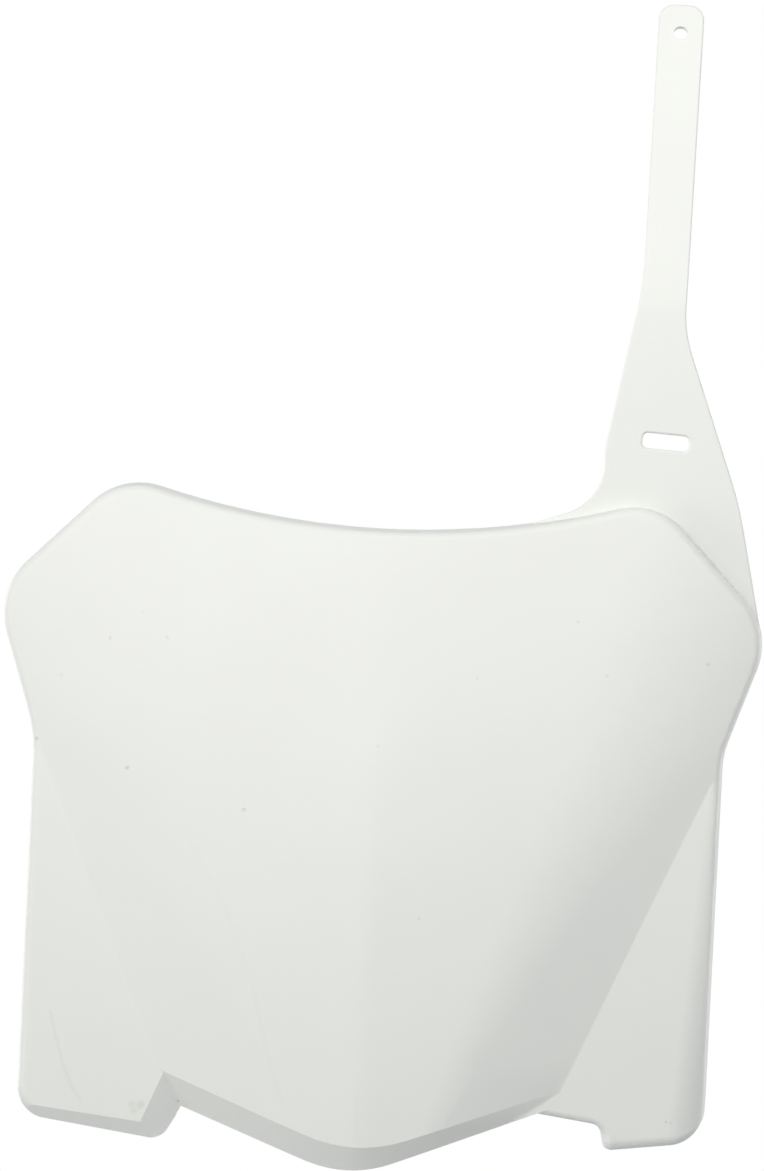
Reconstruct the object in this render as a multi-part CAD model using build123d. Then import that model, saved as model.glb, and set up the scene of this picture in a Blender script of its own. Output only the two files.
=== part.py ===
from build123d import *
import os
from math import acos, atan2, cos, radians, sin, tan

os.makedirs("parts", exist_ok=True)

# Sheet and rim of the moulding, in millimetres
WALL = 2.2
RIM_DEPTH = 13.0
DRAFT = 4.0
RIM_ROUND = 3.0
INNER_ROUND = 0.8
VALLEY_ROUND = 2.0
KEEL_HALF = 3.0
SILHOUETTE_HEIGHT = -12.0
BACK_HEIGHT = -45.0
FRONT_HEIGHT = 45.0

# Parts of a face's unit normal that tell broad, slanted and upright faces apart
BROAD_PART = 0.7
SLANT_PART = 0.3
EVEN_PART = 0.01

# Front outline: corners before rounding, level measured from the ears
TOP_DIP = (0.0, 33.3)
LEFT_SHOULDER = (-85.0, 46.7)
LEFT_EAR = (-124.0, 7.3)
LEFT_WAIST = (-109.3, -36.4)
LEFT_LEG_OUTER = (-108.9, -157.6)
LEFT_LEG_INNER = (-61.7, -163.8)
LEFT_NOTCH = (-55.6, -153.1)
TIP = (-2.1, -172.8)
RIGHT_NOTCH = (56.2, -149.4)
RIGHT_NOTCH_CORNER = (75.2, -151.9)
RIGHT_LEG_INNER = (77.0, -160.0)
RIGHT_LEG_OUTER = (109.3, -155.8)
RIGHT_WAIST = (109.3, -33.0)
RIGHT_EAR = (123.0, 7.1)
RIGHT_SHOULDER = (84.2, 47.2)
SHOULDER_ROUND = 22.0
EAR_ROUND = 22.5
LEFT_WAIST_ROUND = 50.0
RIGHT_WAIST_ROUND = 25.0
LEFT_LEG_ROUND = 11.0
RIGHT_LEG_ROUND = 12.5
TOE_ROUND = 6.0
TIP_ROUND = 40.0
NOTCH_ROUND = 3.5
ARCH_ROUND = 2.0

# Stations of the bowed front, from above the top edge to below the tip:
# level, keel height, ridge half-width, fall from keel to ridge, flank half-width, flank height,
# length of the ridge's round along each side
STATIONS = (
    (60.0, 1.5, 90.0, 1.2, 151.0, -7.3, 28.0),
    (-30.0, 15.0, 60.3, 3.2, 111.5, 0.8, 24.0),
    (-110.0, 23.3, 33.9, 2.8, 76.5, 8.0, 9.0),
    (-190.0, 28.1, 9.0, 0.8, 41.4, 15.2, 3.0),
)
FLANK_RUN_ON = 1.3

# Flat legs beside the prow: height at the waist, and its change sideways and downwards
LEG_WAIST = (109.0, -36.2)
LEG_HEIGHT = 1.5
LEG_FALL_OUT = 0.0564
LEG_RISE_DOWN = 0.0652
LEG_TOP = 20.0
LEG_BOTTOM = -185.0
LEG_INSIDE = 25.0
LEG_OUTSIDE = 140.0

# Soft outer side of the right leg: where its bend starts above and below, its radius and its turn
FOLD_HIGH = (105.0, -45.0)
FOLD_LOW = (97.0, -155.0)
FOLD_ROUND = 14.0
FOLD_TURN = 60.0

# Bevels along the lower edges: where the front face stops and how the bevel runs from there
PROW_STOP_TIP = -162.6
PROW_STOP_RISE = 0.357
PROW_STOP_ROUND = 45.0
PROW_TOP = 80.0
BEVEL_BACK = 5.0
BEVEL_DOWN = 7.0
BEVEL_RUN = 3.0
BEVEL_STEP = 0.7
LEG_STOP_HIGH = (-59.8, -136.0)
LEG_STOP_LOW = (-70.0, -161.0)
LEG_BEVEL_IN = 8.0
LEG_SKIRT_INNER = 6.4
LEG_SKIRT_OUTER = 4.8
SKIRT_END = 10.0
SKIRT_REACH = 40.0

# Strap: height and thickness of its sheet, its corners in plan with their rounds, slot and hole
STRAP_HEIGHT = -5.0
STRAP_THICK = 2.0
STRAP_TIP = 205.2
STRAP_CORNERS = (
    (44.0, 36.6, 0.0),
    (68.0, 45.2, 17.0),
    (66.9, 61.6, 20.0),
    (76.3, 114.0, 100.0),
    (77.6, STRAP_TIP, 5.0),
    (92.1, STRAP_TIP, 5.0),
    (90.15, 99.8, 40.0),
    (110.1, 46.1, 120.0),
    (119.0, 5.5, 0.0),
    (105.0, 0.0, 0.0),
    (60.0, 20.0, 0.0),
)
STRAP_BEND_LEVEL = 105.0
STRAP_BEND = 60.0
STRAP_LEAN = 20.0
STRAP_EDGE = 0.6
SLOT = (85.9, 64.7)
SLOT_LONG = 14.6
SLOT_HIGH = 4.8
SLOT_ROUND = 1.6
SLOT_LIP = 0.8
STRAP_HOLE_X = 84.7
STRAP_HOLE_LEVEL = 195.7
STRAP_HOLE = 4.5

# Peg behind the strap's root, for the hole in the strap's end
PEG = (86.2, 51.0)
PEG_STEM = 4.0
PEG_STEM_LONG = 2.8
PEG_HEAD = 5.6
PEG_HEAD_LONG = 2.0
PEG_TOP = 3.6

# Bolt lug behind the keel, level with the frame's origin
LUG_LEVEL = -90.0
LUG_THICK = 4.0
LUG_HOLE = 6.5
LUG_END = 12.0
LUG_ROOT = 17.0
LUG_REACH = 24.0
LUG_COVER = 1.0
RIB_THICK = 2.0
RIB_SPREAD = 9.0
RIB_LONG = 20.0
RIB_DEEP = 22.0


def flank(keel, ridge_x, fall, flank_x, flank_height, soft):
    """Points of the soft ridge between inner facet and flank, and the end of the straight flank."""
    slope = atan2(fall, ridge_x)
    along = Vector(cos(slope), -sin(slope))
    ridge = Vector(ridge_x, keel - fall)
    corner = ridge + along * soft
    reach = Vector(flank_x, flank_height) - corner
    down = reach.normalized()
    half_turn = acos(along.dot(down)) / 2
    radius = soft / tan(half_turn)
    middle = corner + (down - along).normalized() * (radius / cos(half_turn) - radius)
    return ridge, middle, corner + down * soft, corner + reach * FLANK_RUN_ON


def station(level, keel, ridge_x, fall, flank_x, flank_height, soft):
    """Closed level section of the bowed front, run back behind the rim."""
    ridge, middle, foot, end = flank(keel, ridge_x, fall, flank_x, flank_height, soft)

    shoulder = keel - fall * KEEL_HALF / ridge_x
    top = (keel + shoulder) / 2

    def at(x, height):
        return Vector(x, -height, level)

    edges = [
        Edge.make_line(at(-end.X, BACK_HEIGHT), at(-end.X, end.Y)),
        Edge.make_line(at(-end.X, end.Y), at(-foot.X, foot.Y)),
        Edge.make_three_point_arc(at(-foot.X, foot.Y), at(-middle.X, middle.Y), at(-ridge.X, ridge.Y)),
        Edge.make_line(at(-ridge.X, ridge.Y), at(-KEEL_HALF, shoulder)),
        Edge.make_three_point_arc(at(-KEEL_HALF, shoulder), at(0, top), at(KEEL_HALF, shoulder)),
        Edge.make_line(at(KEEL_HALF, shoulder), at(ridge.X, ridge.Y)),
        Edge.make_three_point_arc(at(ridge.X, ridge.Y), at(middle.X, middle.Y), at(foot.X, foot.Y)),
        Edge.make_line(at(foot.X, foot.Y), at(end.X, end.Y)),
        Edge.make_line(at(end.X, end.Y), at(end.X, BACK_HEIGHT)),
        Edge.make_line(at(end.X, BACK_HEIGHT), at(-end.X, BACK_HEIGHT)),
    ]
    return Wire(edges)


def rounded(face, point, radius):
    """Rounds the corner of a flat face that lies nearest to a point."""
    corner = min(face.vertices(), key=lambda v: (Vector(v) - Vector(*point)).length)
    return face.fillet_2d(radius, [corner])


def front_outline():
    """Silhouette of the board seen from the front, drawn flat."""
    crest = ThreePointArc(LEFT_SHOULDER, TOP_DIP, RIGHT_SHOULDER)
    sides = Polyline(
        RIGHT_SHOULDER,
        RIGHT_EAR,
        RIGHT_WAIST,
        RIGHT_LEG_OUTER,
        RIGHT_LEG_INNER,
        RIGHT_NOTCH_CORNER,
        RIGHT_NOTCH,
        TIP,
        LEFT_NOTCH,
        LEFT_LEG_INNER,
        LEFT_LEG_OUTER,
        LEFT_WAIST,
        LEFT_EAR,
        LEFT_SHOULDER,
    )
    face = make_face([*crest.edges(), *sides.edges()]).face()
    for corner, radius in (
        (LEFT_SHOULDER, SHOULDER_ROUND),
        (RIGHT_SHOULDER, SHOULDER_ROUND),
        (LEFT_EAR, EAR_ROUND),
        (RIGHT_EAR, EAR_ROUND),
        (LEFT_WAIST, LEFT_WAIST_ROUND),
        (RIGHT_WAIST, RIGHT_WAIST_ROUND),
        (LEFT_LEG_OUTER, LEFT_LEG_ROUND),
        (RIGHT_LEG_OUTER, RIGHT_LEG_ROUND),
        (LEFT_LEG_INNER, TOE_ROUND),
        (RIGHT_NOTCH_CORNER, NOTCH_ROUND),
        (TIP, TIP_ROUND),
    ):
        face = rounded(face, corner, radius)
    return face


def drafted_walls(inset):
    """Solid block with the board's outline, drawn in by the inset and drafted towards the front."""
    growth = (SILHOUETTE_HEIGHT - BACK_HEIGHT) * tan(radians(DRAFT))
    flat = offset(front_outline(), amount=growth - inset, kind=Kind.INTERSECTION).face()
    placed = Plane.XZ.offset(BACK_HEIGHT) * flat
    return extrude(placed, amount=FRONT_HEIGHT - BACK_HEIGHT, taper=DRAFT)


def bowed_front(drop):
    """Keel, inner facets and curved flanks as one block, set back by the drop."""
    return Solid.make_loft([station(*row) for row in STATIONS]).moved(Location((0, drop, 0)))


def standing(plan):
    """Block that stands straight through the board's whole depth on a flat plan."""
    placed = Plane.XZ.offset(BACK_HEIGHT) * plan
    return extrude(placed, amount=FRONT_HEIGHT - BACK_HEIGHT)


def run_on(block, run):
    """Lets the straight cut faces that look along a run slide on along it, as a slanted band."""
    cut_faces = [
        face
        for face in block.faces()
        if abs(face.normal_at().Y) < EVEN_PART and face.normal_at().dot(run.normalized()) > SLANT_PART
    ]
    for face in cut_faces:
        block = block + Solid.extrude(face, run)
    return block


def prow(drop, lift):
    """Bowed front that stops at the beak line and runs on into the beak's bevel."""
    beak = PROW_STOP_TIP + lift
    side = beak + PROW_STOP_RISE * LEG_OUTSIDE
    plan = Polygon(
        (0, beak),
        (LEG_OUTSIDE, side),
        (LEG_OUTSIDE, PROW_TOP),
        (-LEG_OUTSIDE, PROW_TOP),
        (-LEG_OUTSIDE, side),
        align=None,
    ).face()
    plan = rounded(plan, (0, beak), PROW_STOP_ROUND)
    run = Vector(0, BEVEL_BACK, -BEVEL_DOWN) * BEVEL_RUN
    return run_on(bowed_front(drop) & standing(plan), run)


def leg(plan, side, drop):
    """Block on a flat plan under the tilted plane of one leg."""
    waist = Vector(side * LEG_WAIST[0], drop - LEG_HEIGHT, LEG_WAIST[1])
    normal = Vector(side * LEG_FALL_OUT, -1, LEG_RISE_DOWN)
    return split(standing(plan), bisect_by=Plane(waist, z_dir=normal), keep=Keep.BOTTOM)


def leg_height(x, level):
    """Height of the legs' tilted plane."""
    return LEG_HEIGHT + (LEG_WAIST[0] - abs(x)) * LEG_FALL_OUT + (LEG_WAIST[1] - level) * LEG_RISE_DOWN


def on_leg(point, drop):
    """Place of a point of the front view on the legs' plane, set back by the drop."""
    x, level = point
    return Vector(x, drop - leg_height(x, level), level)


def soft_side(drop):
    """Block under the right leg's plane and under the bend that lets its outer side fall back."""
    high = on_leg(FOLD_HIGH, drop)
    fold = on_leg(FOLD_LOW, drop) - high
    front = Vector(LEG_FALL_OUT, -1, LEG_RISE_DOWN)
    across = Plane(high, x_dir=front.cross(fold), z_dir=fold)

    def on_bend(turn):
        return (FOLD_ROUND * sin(turn), FOLD_ROUND * cos(turn) - FOLD_ROUND)

    turn = radians(FOLD_TURN)
    end = on_bend(turn)
    pieces = (
        Line((-LEG_OUTSIDE, 0), (0, 0)),
        ThreePointArc((0, 0), on_bend(turn / 2), end),
        Polyline(end, (end[0], BACK_HEIGHT), (-LEG_OUTSIDE, BACK_HEIGHT), (-LEG_OUTSIDE, 0)),
    )
    section = make_face([edge for piece in pieces for edge in piece.edges()]).face()
    return extrude(across * section, amount=2 * LEG_OUTSIDE, both=True)


def leg_plan(side):
    """Upright rectangle that holds one leg and the part of it that lies under the prow."""
    middle = side * (LEG_INSIDE + LEG_OUTSIDE) / 2
    level = (LEG_BOTTOM + LEG_TOP) / 2
    return Pos(middle, level) * Rectangle(LEG_OUTSIDE - LEG_INSIDE, LEG_TOP - LEG_BOTTOM).face()


def right_leg(drop):
    """Leg on the strap's side, cut off plainly under the prow, with a soft outer side."""
    return standing(leg_plan(1)) & soft_side(drop)


def left_leg(drop, lift):
    """Leg on the other side, with a bevel along its inner edge."""
    plan = Polygon(
        (LEG_STOP_LOW[0] - lift, LEG_STOP_LOW[1]),
        (LEG_STOP_HIGH[0] - lift, LEG_STOP_HIGH[1]),
        (-LEG_INSIDE - lift, LEG_TOP),
        (-LEG_OUTSIDE, LEG_TOP),
        (-LEG_OUTSIDE, LEG_BOTTOM),
        (LEG_STOP_LOW[0] - lift, LEG_BOTTOM),
        align=None,
    ).face()
    run = Vector(LEG_BEVEL_IN, BEVEL_BACK, 0) * BEVEL_RUN
    return run_on(leg(plan, -1, drop), run)


def front_faces(block, *kinds):
    """Faces of the given kinds that look to the front."""
    return [face for face in block.faces() if face.geom_type in kinds and face.normal_at().Y < -BROAD_PART]


def side_faces(block):
    """Faces of the drafted side walls."""
    lean = -sin(radians(DRAFT))
    return [face for face in block.faces() if abs(face.normal_at().Y - lean) < EVEN_PART]


def shared_edges(faces, others):
    """Edges that a face of each list has in common."""
    found = []
    for edge in [edge for face in faces for edge in face.edges()]:
        if any(edge.is_same(rival) for face in others for rival in face.edges()):
            found.append(edge)
    return found


def skirt(inset):
    """Block in front of the bevel along the lower edge of the left leg."""
    inner_level = LEFT_LEG_INNER[1] + LEG_SKIRT_INNER
    outer_level = LEFT_LEG_OUTER[1] + LEG_SKIRT_OUTER
    low = on_leg((LEFT_LEG_INNER[0], inner_level), 0)
    high = on_leg((LEFT_LEG_OUTER[0], outer_level), 0)
    outward = (low - high).cross(Vector(0, BEVEL_BACK, -BEVEL_DOWN)).normalized()
    if outward.Y > 0:
        outward = -outward
    face = Plane((low + high) / 2 - outward * inset, x_dir=low - high, z_dir=outward)
    length = (low - high).length + 2 * SKIRT_END
    return face * Box(length, SKIRT_REACH, SKIRT_REACH, align=(Align.CENTER, Align.CENTER, Align.MIN))


def tray(inset):
    """Solid board inside its outline, drawn in and set back by the inset."""
    lift = BEVEL_STEP if inset else 0.0
    block = prow(inset, lift) + right_leg(inset) + left_leg(inset, lift)
    block = block & drafted_walls(inset)
    legs = front_faces(block, GeomType.PLANE, GeomType.CYLINDER)
    valley = shared_edges(legs, front_faces(block, GeomType.BSPLINE))
    bands = [face for face in block.faces() if face.geom_type == GeomType.EXTRUSION]
    valley += [edge for edge in shared_edges(legs, bands) if edge.center().X > 0]
    block = block.fillet(VALLEY_ROUND, valley)
    fronts = front_faces(block, GeomType.BSPLINE, GeomType.PLANE, GeomType.CYLINDER)
    rim = [
        edge
        for edge in shared_edges(fronts, side_faces(block))
        if edge.center().Z > LEG_WAIST[1] or abs(edge.center().X) > RIGHT_LEG_INNER[0] + WALL
    ]
    block = block.fillet(INNER_ROUND if inset else RIM_ROUND, rim)
    block = block - skirt(inset)
    if inset:
        return block
    arch = [
        edge
        for edge in shared_edges(front_faces(block, GeomType.PLANE), side_faces(block))
        if RIGHT_NOTCH[0] < edge.center().X < RIGHT_LEG_INNER[0] + WALL and edge.center().Z < LEG_WAIST[1]
    ]
    return block.fillet(ARCH_ROUND, arch)


def behind_rim():
    """Everything that lies farther back than the rim reaches."""
    return bowed_front(RIM_DEPTH) + right_leg(RIM_DEPTH) + leg(leg_plan(-1), -1, RIM_DEPTH)


def strap_plan():
    """Strap seen from the front, with the part of its root that lies inside the board."""
    points = [(x, level) for x, level, radius in STRAP_CORNERS]
    face = make_face(Polyline(*points, close=True)).face()
    for x, level, radius in STRAP_CORNERS:
        if radius:
            face = rounded(face, (x, level), radius)
    return face


def on_strap(radius, angle, run):
    """Depth and level of a point on the strap's bend, or on its straight run beyond the bend."""
    depth = STRAP_BEND - STRAP_HEIGHT - radius * cos(angle) + run * sin(angle)
    return depth, STRAP_BEND_LEVEL + radius * sin(angle) + run * cos(angle)


def strap_side():
    """Section of the strap seen from its side: upright at the root, leaning back above its bend."""
    front = -STRAP_HEIGHT
    behind = STRAP_BEND - STRAP_THICK
    lean = radians(STRAP_LEAN)

    def bend(radius):
        return ThreePointArc(*(on_strap(radius, part * lean, 0) for part in (0, 0.5, 1)))

    pieces = (
        bend(STRAP_BEND),
        Polyline(
            on_strap(STRAP_BEND, lean, 0),
            on_strap(STRAP_BEND, lean, STRAP_TIP),
            on_strap(behind, lean, STRAP_TIP),
            on_strap(behind, lean, 0),
        ),
        bend(behind),
        Polyline(on_strap(behind, 0, 0), (front + STRAP_THICK, 0), (front, 0), on_strap(STRAP_BEND, 0, 0)),
    )
    return make_face([edge for piece in pieces for edge in piece.edges()]).face()


def strap_hole():
    """Centre and outward direction of the hole through the strap's end."""
    lean = radians(STRAP_LEAN)
    middle = STRAP_BEND - STRAP_THICK / 2
    run = (STRAP_HOLE_LEVEL - on_strap(middle, lean, 0)[1]) / cos(lean)
    depth, level = on_strap(middle, lean, run)
    return Vector(STRAP_HOLE_X, depth, level), Vector(0, -cos(lean), sin(lean))


def broad_faces(sheet):
    """Front and back of the strap."""
    return [face for face in sheet.faces() if abs(face.normal_at().Y) > BROAD_PART]


def thin_faces(sheet):
    """Edges of the strap's sheet."""
    return [face for face in sheet.faces() if abs(face.normal_at().Y) < SLANT_PART]


def strap():
    """Strap with its slot and the hole in its end."""
    bent = extrude(Plane.YZ * strap_side(), amount=LEG_OUTSIDE)
    sheet = (bent & standing(strap_plan())).solid()
    edges = [
        edge
        for edge in shared_edges(broad_faces(sheet), thin_faces(sheet))
        if edge.center().Z > RIGHT_SHOULDER[1]
    ]
    sheet = sheet.fillet(STRAP_EDGE, edges)
    slot = standing(Pos(*SLOT) * RectangleRounded(SLOT_LONG, SLOT_HIGH, SLOT_ROUND))
    sheet = (sheet - slot).solid()
    lip = [
        edge
        for edge in sheet.edges()
        if abs(edge.center().X - SLOT[0]) < SLOT_LONG / 2 + EVEN_PART
        and abs(edge.center().Z - SLOT[1]) < SLOT_HIGH / 2 + EVEN_PART
        and abs(edge.center().Y + STRAP_HEIGHT) < EVEN_PART
    ]
    sheet = sheet.fillet(SLOT_LIP, lip)
    centre, outward = strap_hole()
    drill = Plane(centre, z_dir=outward) * Cylinder(STRAP_HOLE / 2, STRAP_THICK * 4)
    return sheet - drill


def peg():
    """Headed peg behind the strap's root."""
    face = STRAP_THICK - STRAP_HEIGHT
    stem_end = face + PEG_STEM_LONG
    half = make_face(
        Polyline(
            (0, face - STRAP_THICK / 2),
            (PEG_STEM / 2, face - STRAP_THICK / 2),
            (PEG_STEM / 2, stem_end),
            (PEG_HEAD / 2, stem_end),
            (PEG_TOP / 2, stem_end + PEG_HEAD_LONG),
            (0, stem_end + PEG_HEAD_LONG),
            (0, face - STRAP_THICK / 2),
        )
    )
    return Pos(PEG[0], 0, PEG[1]) * revolve(half, Axis.Y)


def lug():
    """Bolt lug that stands back from the keel, with two ribs under it."""
    corners = ((-LUG_ROOT, -LUG_REACH), (LUG_ROOT, -LUG_REACH), (LUG_END, 0), (-LUG_END, 0))
    plan = Polygon(*corners, align=None)
    tongue = extrude(plan + Circle(LUG_END), amount=LUG_THICK / 2, both=True)
    corners = ((-LUG_REACH, 0), (RIB_LONG - LUG_REACH, 0), (-LUG_REACH, -RIB_DEEP))
    rib = make_face(Polyline(*corners, close=True))
    for side in (-1, 1):
        tongue += Pos(side * RIB_SPREAD - RIB_THICK / 2, 0, 0) * extrude(Plane.YZ * rib, amount=RIB_THICK)
    tongue -= Cylinder(LUG_HOLE / 2, LUG_THICK * 2)
    return Pos(0, 0, LUG_LEVEL) * tongue


outer = tray(0.0)
cavity = tray(WALL)
board = outer - cavity - behind_rim()
board = board + (strap() - cavity) + peg()
board = board + (lug() & outer.moved(Location((0, LUG_COVER, 0))))
board = board.solid().moved(Location((0, 0, -LUG_LEVEL)))
board.label = "number_board"
export_step(board, "parts/number_board.step")
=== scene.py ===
from math import cos, radians, sin

import bmesh
import bpy
from bpy.props import FloatProperty, FloatVectorProperty, PointerProperty
from bpy.types import Operator, Panel, PropertyGroup
from mathutils import Matrix, Vector


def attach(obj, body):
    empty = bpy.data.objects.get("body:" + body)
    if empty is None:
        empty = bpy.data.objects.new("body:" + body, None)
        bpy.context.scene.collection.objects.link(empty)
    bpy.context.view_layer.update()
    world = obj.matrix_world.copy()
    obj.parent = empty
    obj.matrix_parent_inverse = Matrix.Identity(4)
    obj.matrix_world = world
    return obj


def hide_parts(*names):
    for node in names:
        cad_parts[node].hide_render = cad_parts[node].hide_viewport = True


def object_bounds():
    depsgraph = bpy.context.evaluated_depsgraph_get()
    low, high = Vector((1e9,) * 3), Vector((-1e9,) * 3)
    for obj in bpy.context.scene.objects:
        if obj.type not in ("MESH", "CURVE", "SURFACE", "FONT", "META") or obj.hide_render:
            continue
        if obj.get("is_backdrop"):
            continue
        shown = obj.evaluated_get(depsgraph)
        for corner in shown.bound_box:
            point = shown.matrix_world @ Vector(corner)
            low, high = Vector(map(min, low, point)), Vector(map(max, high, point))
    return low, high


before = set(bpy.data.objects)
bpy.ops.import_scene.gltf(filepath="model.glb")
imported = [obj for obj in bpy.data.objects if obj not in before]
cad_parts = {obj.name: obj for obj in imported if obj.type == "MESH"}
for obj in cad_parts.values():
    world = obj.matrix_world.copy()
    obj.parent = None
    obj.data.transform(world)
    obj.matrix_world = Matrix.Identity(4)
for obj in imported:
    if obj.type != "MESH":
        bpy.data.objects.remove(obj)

bl_info = {
    "name": "Racing number board",
    "version": (1, 0, 0),
    "blender": (4, 5, 0),
    "location": "View3D > Sidebar > Number Board",
    "description": "Dresses the moulded number board and sets up its white studio",
    "category": "Object",
}

NODE = "number_board"
SLOT = "white_plastic"
CAD_LOW, CAD_HIGH = (list(corner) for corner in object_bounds())

# Middle of the strap's slot, and how far its rim reaches from there
STRAP_SLOT_MIDDLE = Vector((0.0859, 0.006, 0.1547))
STRAP_SLOT_REACH = Vector((0.0085, 0.002, 0.0036))

# Small dark specks on the front: across, up, radius and depth of tone
SPECKS = (
    (-0.0780, 0.0440, 0.0010, 0.50),
    (-0.0405, 0.0330, 0.0010, 0.38),
    (-0.0855, 0.0845, 0.0009, 0.24),
    (-0.0675, 0.0855, 0.0009, 0.20),
    (-0.0755, 0.0930, 0.0007, 0.18),
    (-0.1005, 0.0720, 0.0008, 0.16),
    (-0.1075, 0.0515, 0.0009, 0.45),
    (0.1025, 0.0855, 0.0009, 0.30),
    (0.0610, 0.0970, 0.0008, 0.20),
    (0.0710, 0.0805, 0.0007, 0.24),
    (0.0160, 0.0020, 0.0008, 0.22),
    (0.0005, 0.0550, 0.0007, 0.20),
    (0.0305, 0.0775, 0.0007, 0.16),
    (0.0965, -0.0585, 0.0006, 0.45),
    (0.0980, -0.0585, 0.0006, 0.30),
    (-0.0570, -0.0600, 0.0007, 0.60),
)

# Faint brown smudges near the left leg's inner corner: across, up, radius and depth of tone
SMUDGES = (
    (-0.0710, -0.0615, 0.0022, 0.18),
    (-0.0685, -0.0615, 0.0020, 0.32),
    (-0.0705, -0.0635, 0.0016, 0.28),
)

# Thin flow line in the moulding, then painted shade along the left ridge and along the keel's lower end:
# half-width, depth of tone, then points across and up
FLOW_LINE_AND_RIDGE_SHADE = (
    (0.0008, 0.10, (-0.0985, -0.0340), (-0.0940, -0.0490), (-0.0910, -0.0565), (-0.0875, -0.0610)),
    # Painted shade: the rows below darken the front along the left ridge and the lower end of the keel
    (0.0010, 0.02, (-0.0595, 0.0260), (-0.0500, 0.0115), (-0.0410, -0.0055), (-0.0345, -0.0230)),
    (0.0010, 0.04, (-0.0345, -0.0230), (-0.0290, -0.0430), (-0.0240, -0.0565)),
    (0.0008, 0.03, (-0.0005, -0.0550), (0.0005, -0.0685)),
)

# Share of a mark's reach that keeps its full tone, and the roughness that a full dark mark adds
MARK_CORE = 0.2
MARK_ROUGHNESS = 0.2

# Uneven outlines of the marks: waves in a metre, their mean, and the whole range of an outline's shift
RUFFLE_SCALE = 900.0
RUFFLE_MEAN = (0.5, 0.5, 0.5)
RUFFLE_SHIFT = (0.0012, 0.0012, 0.0012)

# Y of a surface's direction where marks start to show, and where they show in full: the front is at -1
FRONT_START = -0.2
FRONT_FULL = -0.5

# Faint clouds in the plastic: clouds in a metre, levels of finer clouds, and how strong those are
CLOUD_SCALE = 22.0
CLOUD_DETAIL = 3.0
CLOUD_FINENESS = 0.55

# How far the clouds move the roughness up and down
CLOUD_ROUGHNESS = 0.05

# Fine moulded grain: grains in a metre, levels of finer grain, and the share of its depth that shows
GRAIN_SCALE = 2600.0
GRAIN_DETAIL = 2.0
GRAIN_STRENGTH = 0.25

# Lamps round the board: name, middle, width and height, and the setting that holds the power
LAMPS = (
    ("key_lamp", (-0.1, -0.55, 0.32), (1.0, 0.3), "key_power"),
    ("top_lamp", (0.12, -0.3, 0.62), (0.3, 0.2), "top_power"),
    ("side_lamp", (-1.7, -0.7, -0.1), (1.0, 0.6), "side_power"),
    ("left_back_lamp", (-1.5, 1.1, 0.05), (0.8, 0.8), "back_power"),
    ("right_back_lamp", (1.5, 1.1, 0.05), (0.8, 0.8), "back_power"),
)

# The camera's sensor in millimetres, and how far the camera sees in metres
SENSOR_WIDTH = 36.0
SIGHT = 50.0

# Colour of the surroundings, and the rays that see it
WHITE = (1.0, 1.0, 1.0)
WHITE_RAYS = ("Is Camera Ray", "Is Glossy Ray", "Is Transmission Ray")

# Floor: corners of its round outline, finish, and the shares of its radius between which it fades
FLOOR_CORNERS = 96
FLOOR_COLOUR = (0.9, 0.9, 0.9)
FLOOR_ROUGHNESS = 0.9
FLOOR_FADE_START = 0.3
FLOOR_FADE_END = 0.98

# Axes that count on the front seen straight on, and on the floor
FRONT_AXES = (1.0, 0.0, 1.0)
FLOOR_AXES = (1.0, 1.0, 0.0)


class BoardShape(PropertyGroup):
    """How the moulding's skin is shaded, and how its slot is turned."""

    merge: FloatProperty(
        name="Merge distance",
        description="Corners of neighbouring faces closer than this become one",
        default=0.00002,
        precision=6,
        unit="LENGTH",
    )
    crease: FloatProperty(
        name="Crease angle",
        description="Edges that turn more than this stay sharp",
        default=radians(28.0),
        subtype="ANGLE",
    )
    slot_turn: FloatProperty(
        name="Slot turn",
        description="How far the strap's slot is turned clockwise, seen from the front",
        default=radians(3.0),
        subtype="ANGLE",
    )


class PlasticLook(PropertyGroup):
    """Colour and finish of the white plastic."""

    colour: FloatVectorProperty(
        name="Colour",
        description="Main colour of the plastic",
        default=(0.80, 0.82, 0.79),
        min=0.0,
        max=1.0,
        subtype="COLOR",
    )
    cloudy: FloatVectorProperty(
        name="Cloudy colour",
        description="Slightly greyer colour of the faint clouds in the plastic",
        default=(0.775, 0.79, 0.775),
        min=0.0,
        max=1.0,
        subtype="COLOR",
    )
    # Painted shade: the speck colour also darkens the front along the left ridge and the keel's lower end
    speck: FloatVectorProperty(
        name="Speck colour",
        description="Colour of the small specks and the flow lines",
        default=(0.42, 0.43, 0.40),
        min=0.0,
        max=1.0,
        subtype="COLOR",
    )
    smudge: FloatVectorProperty(
        name="Smudge colour",
        description="Colour of the faint brown smudges",
        default=(0.53, 0.51, 0.42),
        min=0.0,
        max=1.0,
        subtype="COLOR",
    )
    roughness: FloatProperty(
        name="Roughness",
        description="Mean roughness of the satin surface",
        default=0.48,
        min=0.0,
        max=1.0,
        subtype="FACTOR",
    )
    grain: FloatProperty(
        name="Grain depth",
        description="Depth of the fine moulded grain",
        default=0.00004,
        precision=6,
        unit="LENGTH",
    )


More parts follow.
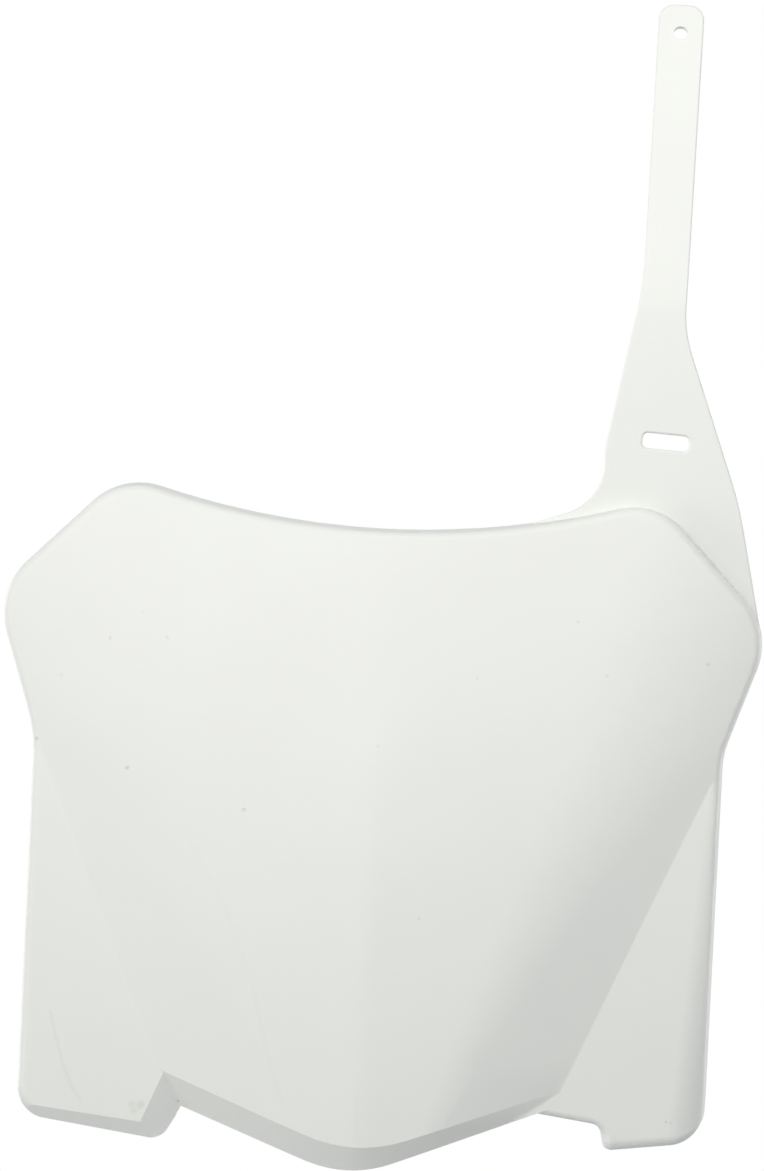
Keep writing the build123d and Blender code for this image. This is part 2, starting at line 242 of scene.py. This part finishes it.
class StudioSetup(PropertyGroup):
    """Camera, light and floor of the white studio."""

    aim: FloatVectorProperty(
        name="Aim",
        description="Point the camera looks at",
        default=(-0.00117, 0.0, 0.10505),
        subtype="TRANSLATION",
        unit="LENGTH",
    )
    azimuth: FloatProperty(
        name="Azimuth",
        description="How far the camera stands to the strap's side",
        default=radians(1.18),
        subtype="ANGLE",
    )
    elevation: FloatProperty(
        name="Elevation",
        description="How far the camera looks down",
        default=radians(0.83),
        subtype="ANGLE",
    )
    roll: FloatProperty(
        name="Roll",
        description="How far the board leans to the right in the picture",
        default=radians(2.89),
        subtype="ANGLE",
    )
    distance: FloatProperty(
        name="Distance",
        description="Camera's distance from its aim",
        default=2.0,
        unit="LENGTH",
    )
    view_height: FloatProperty(
        name="View height",
        description="Height of the picture at the aim",
        default=0.36905,
        unit="LENGTH",
    )
    key_power: FloatProperty(
        name="Key power",
        description="Power of the long lamp before the front",
        default=2.6,
        unit="POWER",
    )
    top_power: FloatProperty(
        name="Top power",
        description="Power of the small lamp before the strap's tip",
        default=0.8,
        unit="POWER",
    )
    side_power: FloatProperty(
        name="Side power",
        description="Power of the wide lamp far to the left",
        default=6.4,
        unit="POWER",
    )
    back_power: FloatProperty(
        name="Back power",
        description="Power of each of the two lamps behind the board's sides",
        default=8.0,
        unit="POWER",
    )
    lamp_colour: FloatVectorProperty(
        name="Lamp colour",
        description="Warm tint of the lamps",
        default=(1.0, 0.97, 0.93),
        min=0.0,
        max=1.0,
        subtype="COLOR",
    )
    fill: FloatVectorProperty(
        name="Fill",
        description="Weak cool light from all round",
        default=(0.32, 0.335, 0.345),
        min=0.0,
        max=1.0,
        subtype="COLOR",
    )
    floor_drop: FloatProperty(
        name="Floor drop",
        description="How far the floor lies below the board",
        default=0.35,
        unit="LENGTH",
    )
    floor_size: FloatProperty(
        name="Floor size",
        description="Radius of the round floor, which fades out towards its edge",
        default=1.5,
        unit="LENGTH",
    )


def camera_axes(studio):
    """Right, up and backward axes of the photograph's camera."""
    towards = Vector((
        sin(studio.azimuth) * cos(studio.elevation),
        -cos(studio.azimuth) * cos(studio.elevation),
        sin(studio.elevation),
    ))
    right = Vector((cos(studio.azimuth), sin(studio.azimuth), 0.0))
    up = towards.cross(right)
    turned_right = right * cos(studio.roll) + up * sin(studio.roll)
    turned_up = up * cos(studio.roll) - right * sin(studio.roll)
    return turned_right, turned_up, towards


def opaque(colour):
    """A colour with full cover."""
    return (*colour, 1.0)


def add_node(tree, kind, values=None, **settings):
    """Adds a node, sets its plain properties and fills in the inputs that nothing feeds."""
    node = tree.nodes.new(kind)
    for name, value in settings.items():
        setattr(node, name, value)
    for entry, value in (values or {}).items():
        node.inputs[entry].default_value = value
    return node


def combine(tree, operation, first, second, **settings):
    """Value worked out from two others."""
    node = add_node(tree, "ShaderNodeMath", operation=operation, **settings)
    tree.links.new(first, node.inputs[0])
    tree.links.new(second, node.inputs[1])
    return node.outputs[0]


def combine_vectors(tree, operation, first, second):
    """Outputs of a node that works on two vectors."""
    node = add_node(tree, "ShaderNodeVectorMath", operation=operation)
    tree.links.new(first, node.inputs[0])
    tree.links.new(second, node.inputs[1])
    return node.outputs


def flattened(tree, place, axes):
    """A place with only the axes that count."""
    flat = add_node(tree, "ShaderNodeVectorMath", {1: axes}, operation="MULTIPLY")
    tree.links.new(place, flat.inputs[0])
    return flat.outputs["Vector"]


def soft_fall(tree, value, start, end):
    """Mask that falls softly from one at the start to nothing at the end."""
    ends = {"From Min": start, "From Max": end, "To Min": 1.0, "To Max": 0.0}
    fall = add_node(tree, "ShaderNodeMapRange", ends, interpolation_type="SMOOTHSTEP")
    tree.links.new(value, fall.inputs["Value"])
    return fall.outputs["Result"]


def strongest(tree, masks):
    """The strongest of several masks."""
    best = masks[0]
    for mask in masks[1:]:
        best = combine(tree, "MAXIMUM", best, mask)
    return best


def new_group(name, vectors, values, results):
    """Empty node group with named vector inputs, value inputs and value outputs, and its end nodes."""
    group = bpy.data.node_groups.new(name, "ShaderNodeTree")
    for title in vectors:
        group.interface.new_socket(title, in_out="INPUT", socket_type="NodeSocketVector")
    for title in values:
        group.interface.new_socket(title, in_out="INPUT", socket_type="NodeSocketFloat")
    for title in results:
        group.interface.new_socket(title, in_out="OUTPUT", socket_type="NodeSocketFloat")
    return group, group.nodes.new("NodeGroupInput").outputs, group.nodes.new("NodeGroupOutput").inputs


def plastic_group():
    """Node group: faint clouds in the plastic and a fine moulded grain."""
    group, given, result = new_group("moulded_plastic", ("Vector",), (), ("Clouds", "Grain"))
    noises = {
        "Clouds": {"Scale": CLOUD_SCALE, "Detail": CLOUD_DETAIL, "Roughness": CLOUD_FINENESS},
        "Grain": {"Scale": GRAIN_SCALE, "Detail": GRAIN_DETAIL},
    }
    for title, values in noises.items():
        noise = add_node(group, "ShaderNodeTexNoise", values)
        group.links.new(given["Vector"], noise.inputs["Vector"])
        group.links.new(noise.outputs["Fac"], result[title])
    return group


def fade_out(group, gap, given, result):
    """Ends a mark's group with a mask that falls softly from its depth to nothing at its reach."""
    part = combine(group, "DIVIDE", gap, given["Reach"])
    soft = soft_fall(group, part, MARK_CORE, 1.0)
    group.links.new(combine(group, "MULTIPLY", soft, given["Depth"]), result["Mask"])


def speck_group():
    """Node group: mask of a round soft speck."""
    group, given, result = new_group("speck", ("Vector", "Centre"), ("Reach", "Depth"), ("Mask",))
    gap = combine_vectors(group, "DISTANCE", given["Vector"], given["Centre"])["Value"]
    fade_out(group, gap, given, result)
    return group


def streak_group():
    """Node group: mask of a soft straight streak between two points."""
    group, given, result = new_group("streak", ("Vector", "Start", "End"), ("Reach", "Depth"), ("Mask",))
    run = combine_vectors(group, "SUBTRACT", given["End"], given["Start"])["Vector"]
    off = combine_vectors(group, "SUBTRACT", given["Vector"], given["Start"])["Vector"]
    along = combine_vectors(group, "DOT_PRODUCT", off, run)["Value"]
    square = combine_vectors(group, "DOT_PRODUCT", run, run)["Value"]
    nearest = add_node(group, "ShaderNodeVectorMath", operation="SCALE")
    group.links.new(run, nearest.inputs[0])
    group.links.new(combine(group, "DIVIDE", along, square, use_clamp=True), nearest.inputs["Scale"])
    gap = combine_vectors(group, "DISTANCE", off, nearest.outputs["Vector"])["Value"]
    fade_out(group, gap, given, result)
    return group


def front_place(tree, place):
    """Place on the front seen straight on, slightly ruffled so that marks get uneven outlines."""
    ruffle = add_node(tree, "ShaderNodeTexNoise", {"Scale": RUFFLE_SCALE})
    tree.links.new(place, ruffle.inputs["Vector"])
    level = add_node(tree, "ShaderNodeVectorMath", {1: RUFFLE_MEAN}, operation="SUBTRACT")
    tree.links.new(ruffle.outputs["Color"], level.inputs[0])
    shift = add_node(tree, "ShaderNodeVectorMath", {1: RUFFLE_SHIFT}, operation="MULTIPLY_ADD")
    tree.links.new(level.outputs["Vector"], shift.inputs[0])
    tree.links.new(place, shift.inputs[2])
    return flattened(tree, shift.outputs["Vector"], FRONT_AXES)


def front_only(tree):
    """Mask of the surfaces that look to the front."""
    surface = add_node(tree, "ShaderNodeNewGeometry")
    axes = add_node(tree, "ShaderNodeSeparateXYZ")
    tree.links.new(surface.outputs["Normal"], axes.inputs[0])
    facing = add_node(tree, "ShaderNodeMapRange", {"From Min": FRONT_START, "From Max": FRONT_FULL})
    tree.links.new(axes.outputs["Y"], facing.inputs["Value"])
    return facing.outputs["Result"]


def mark_mask(tree, group, place, values):
    """Mask of one mark, with its own values in its group."""
    mark = add_node(tree, "ShaderNodeGroup", values, node_tree=group)
    tree.links.new(place, mark.inputs["Vector"])
    return mark.outputs["Mask"]


def speck_masks(tree, group, place, marks):
    """One mask for each round mark."""
    masks = []
    for across, up, reach, depth in marks:
        values = {"Centre": (across, 0.0, up), "Reach": reach, "Depth": depth}
        masks.append(mark_mask(tree, group, place, values))
    return masks


def streak_masks(tree, group, place, lines):
    """One mask for each straight piece of the flow line and of the painted shade along the left ridge and
    the keel.
    """
    masks = []
    for reach, depth, *points in lines:
        stops = [(across, 0.0, up) for across, up in points]
        for start, end in zip(stops, stops[1:]):
            values = {"Start": start, "End": end, "Reach": reach, "Depth": depth}
            masks.append(mark_mask(tree, group, place, values))
    return masks


def front_marks(tree, place):
    """Mask of the dark specks, the flow line and the painted shade along the left ridge and the keel, and
    mask of the brown smudges, both on the front only.
    """
    front = front_only(tree)
    seen = front_place(tree, place)
    specks = speck_group()
    dark = speck_masks(tree, specks, seen, SPECKS) + streak_masks(tree, streak_group(), seen, FLOW_LINE_AND_RIDGE_SHADE)
    brown = speck_masks(tree, specks, seen, SMUDGES)
    return [combine(tree, "MULTIPLY", strongest(tree, masks), front) for masks in (dark, brown)]


def tinted(tree, base, colour, mask):
    """A base colour that turns to another one under a mask."""
    tint = add_node(tree, "ShaderNodeMix", {"B": opaque(colour)}, data_type="RGBA")
    tree.links.new(mask, tint.inputs["Factor"])
    tree.links.new(base, tint.inputs["A"])
    return tint.outputs["Result"]


def plastic(look):
    """Satin white plastic with faint clouds, a fine grain, specks, smudges, a flow line and painted shade
    along the left ridge and the keel.
    """
    material = bpy.data.materials.new(SLOT)
    material.use_nodes = True
    tree = material.node_tree
    shader = tree.nodes["Principled BSDF"]
    place = add_node(tree, "ShaderNodeTexCoord").outputs["Object"]
    surface = add_node(tree, "ShaderNodeGroup", node_tree=plastic_group())
    tree.links.new(place, surface.inputs["Vector"])
    clouds = surface.outputs["Clouds"]
    dark, brown = front_marks(tree, place)

    colours = {"A": opaque(look.colour), "B": opaque(look.cloudy)}
    tone = add_node(tree, "ShaderNodeMix", colours, data_type="RGBA")
    tree.links.new(clouds, tone.inputs["Factor"])
    marked = tinted(tree, tone.outputs["Result"], look.smudge, brown)
    # Painted shade: the dark mask also darkens the front along the left ridge and the keel, in the speck
    # colour
    marked = tinted(tree, marked, look.speck, dark)
    tree.links.new(marked, shader.inputs["Base Color"])

    limits = {"To Min": look.roughness - CLOUD_ROUGHNESS, "To Max": look.roughness + CLOUD_ROUGHNESS}
    gloss = add_node(tree, "ShaderNodeMapRange", limits)
    tree.links.new(clouds, gloss.inputs["Value"])
    dull = add_node(tree, "ShaderNodeMath", {1: MARK_ROUGHNESS}, operation="MULTIPLY_ADD")
    tree.links.new(dark, dull.inputs[0])
    tree.links.new(gloss.outputs["Result"], dull.inputs[2])
    tree.links.new(dull.outputs[0], shader.inputs["Roughness"])

    bump = add_node(tree, "ShaderNodeBump", {"Strength": GRAIN_STRENGTH, "Distance": look.grain})
    tree.links.new(surface.outputs["Grain"], bump.inputs["Height"])
    tree.links.new(bump.outputs["Normal"], shader.inputs["Normal"])
    return material


def pale_floor(size):
    """Pale dull floor that fades out towards its edge."""
    material = bpy.data.materials.new("pale_floor")
    material.use_nodes = True
    tree = material.node_tree
    shader = tree.nodes["Principled BSDF"]
    shader.inputs["Base Color"].default_value = opaque(FLOOR_COLOUR)
    shader.inputs["Roughness"].default_value = FLOOR_ROUGHNESS
    place = add_node(tree, "ShaderNodeTexCoord").outputs["Object"]
    reach = add_node(tree, "ShaderNodeVectorMath", operation="LENGTH")
    tree.links.new(flattened(tree, place, FLOOR_AXES), reach.inputs[0])
    fade = soft_fall(tree, reach.outputs["Value"], FLOOR_FADE_START * size, FLOOR_FADE_END * size)
    tree.links.new(fade, shader.inputs["Alpha"])
    return material


class BOARD_OT_shell(Operator):
    """Shades the moulded shell: one smooth skin with its real creases, in white plastic"""

    bl_idname = "board.shell"
    bl_label = "Shell"

    def execute(self, context):
        shape = context.scene.board_shape
        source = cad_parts[NODE]
        skin = bmesh.new()
        skin.from_mesh(source.data)
        bmesh.ops.remove_doubles(skin, verts=skin.verts, dist=shape.merge)
        self.turn_slot(skin, shape.slot_turn)
        for face in skin.faces:
            face.smooth = True
        for edge in skin.edges:
            edge.smooth = edge.is_manifold and edge.calc_face_angle() < shape.crease
        mesh = bpy.data.meshes.new("board_shell")
        skin.to_mesh(mesh)
        skin.free()
        mesh.materials.append(plastic(context.scene.plastic_look))
        shell = bpy.data.objects.new("board_shell", mesh)
        context.scene.collection.objects.link(shell)
        even = shell.modifiers.new("even_normals", "WEIGHTED_NORMAL")
        even.keep_sharp = True
        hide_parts(NODE)
        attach(shell, "root")
        return {"FINISHED"}

    def turn_slot(self, skin, angle):
        """Turns the slot's rim within the flat root of the strap."""
        rim = [
            corner
            for corner in skin.verts
            if all(abs(gap) < reach for gap, reach in zip(corner.co - STRAP_SLOT_MIDDLE, STRAP_SLOT_REACH))
        ]
        if not rim:
            raise RuntimeError("the strap's slot wasn't found")
        bmesh.ops.rotate(skin, verts=rim, cent=STRAP_SLOT_MIDDLE, matrix=Matrix.Rotation(angle, 3, "Y"))


class BOARD_OT_stage(Operator):
    """Sets the camera, the lamps, the white surroundings and the floor"""

    bl_idname = "board.stage"
    bl_label = "Stage"

    def execute(self, context):
        scene = context.scene
        studio = scene.studio_setup
        scene.view_settings.view_transform = "Standard"
        self.place_camera(scene, studio)
        self.hang_lamps(scene, studio)
        self.light_world(scene, studio)
        self.lay_floor(scene, studio)
        return {"FINISHED"}

    def place_camera(self, scene, studio):
        """Camera with the photograph's framing."""
        lens = bpy.data.cameras.new("photo_camera")
        camera = bpy.data.objects.new("photo_camera", lens)
        scene.collection.objects.link(camera)
        right, up, towards = camera_axes(studio)
        place = Vector(studio.aim) + towards * studio.distance
        turn = Matrix((right, up, towards)).transposed().to_4x4()
        camera.matrix_world = Matrix.Translation(place) @ turn
        lens.sensor_width = SENSOR_WIDTH
        lens.lens = SENSOR_WIDTH * studio.distance / studio.view_height
        lens.clip_end = SIGHT
        scene.camera = camera

    def hang_lamps(self, scene, studio):
        """Rectangular soft lamps that face the board and stay out of the picture."""
        for name, place, size, power in LAMPS:
            lamp = bpy.data.lights.new(name, "AREA")
            lamp.energy = getattr(studio, power)
            lamp.color = studio.lamp_colour
            lamp.shape = "RECTANGLE"
            lamp.size, lamp.size_y = size
            holder = bpy.data.objects.new(name, lamp)
            scene.collection.objects.link(holder)
            holder.visible_camera = False
            aim = Vector(studio.aim) - Vector(place)
            turn = aim.to_track_quat("-Z", "Y").to_matrix().to_4x4()
            holder.matrix_world = Matrix.Translation(place) @ turn

    def light_world(self, scene, studio):
        """Weak light from all round, and plain white where the surroundings are seen or mirrored."""
        world = bpy.data.worlds.new("studio")
        scene.world = world
        world.use_nodes = True
        tree = world.node_tree
        tree.nodes.clear()
        dim = add_node(tree, "ShaderNodeBackground", {"Color": opaque(studio.fill)})
        white = add_node(tree, "ShaderNodeBackground", {"Color": opaque(WHITE)})
        path = add_node(tree, "ShaderNodeLightPath")
        seen = strongest(tree, [path.outputs[title] for title in WHITE_RAYS])
        mix = add_node(tree, "ShaderNodeMixShader")
        out = add_node(tree, "ShaderNodeOutputWorld")
        tree.links.new(seen, mix.inputs[0])
        tree.links.new(dim.outputs[0], mix.inputs[1])
        tree.links.new(white.outputs[0], mix.inputs[2])
        tree.links.new(mix.outputs[0], out.inputs["Surface"])

    def lay_floor(self, scene, studio):
        """Pale round floor well below the board."""
        ground = bmesh.new()
        bmesh.ops.create_circle(ground, cap_ends=True, segments=FLOOR_CORNERS, radius=studio.floor_size)
        low = CAD_LOW[2] - studio.floor_drop
        bmesh.ops.translate(ground, verts=ground.verts, vec=(0.0, 0.0, low))
        mesh = bpy.data.meshes.new("floor")
        ground.to_mesh(mesh)
        ground.free()
        mesh.materials.append(pale_floor(studio.floor_size))
        floor = bpy.data.objects.new("floor", mesh)
        scene.collection.objects.link(floor)
        floor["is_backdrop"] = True


class BOARD_PT_panel(Panel):
    """Lists the steps that dress the number board"""

    bl_idname = "BOARD_PT_panel"
    bl_label = "Number Board"
    bl_space_type = "VIEW_3D"
    bl_region_type = "UI"
    bl_category = "Number Board"

    def draw(self, context):
        column = self.layout.column()
        column.operator(BOARD_OT_shell.bl_idname)
        column.operator(BOARD_OT_stage.bl_idname)


CLASSES = (BoardShape, PlasticLook, StudioSetup, BOARD_OT_shell, BOARD_OT_stage, BOARD_PT_panel)


def register():
    """Adds the settings, the steps and the panel."""
    for entry in CLASSES:
        bpy.utils.register_class(entry)
    bpy.types.Scene.board_shape = PointerProperty(type=BoardShape)
    bpy.types.Scene.plastic_look = PointerProperty(type=PlasticLook)
    bpy.types.Scene.studio_setup = PointerProperty(type=StudioSetup)


def unregister():
    """Takes the settings, the steps and the panel away again."""
    del bpy.types.Scene.studio_setup
    del bpy.types.Scene.plastic_look
    del bpy.types.Scene.board_shape
    for entry in reversed(CLASSES):
        bpy.utils.unregister_class(entry)


def main():
    """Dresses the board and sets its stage."""
    register()
    bpy.ops.board.shell()
    bpy.ops.board.stage()


if __name__ == "__main__":
    main()
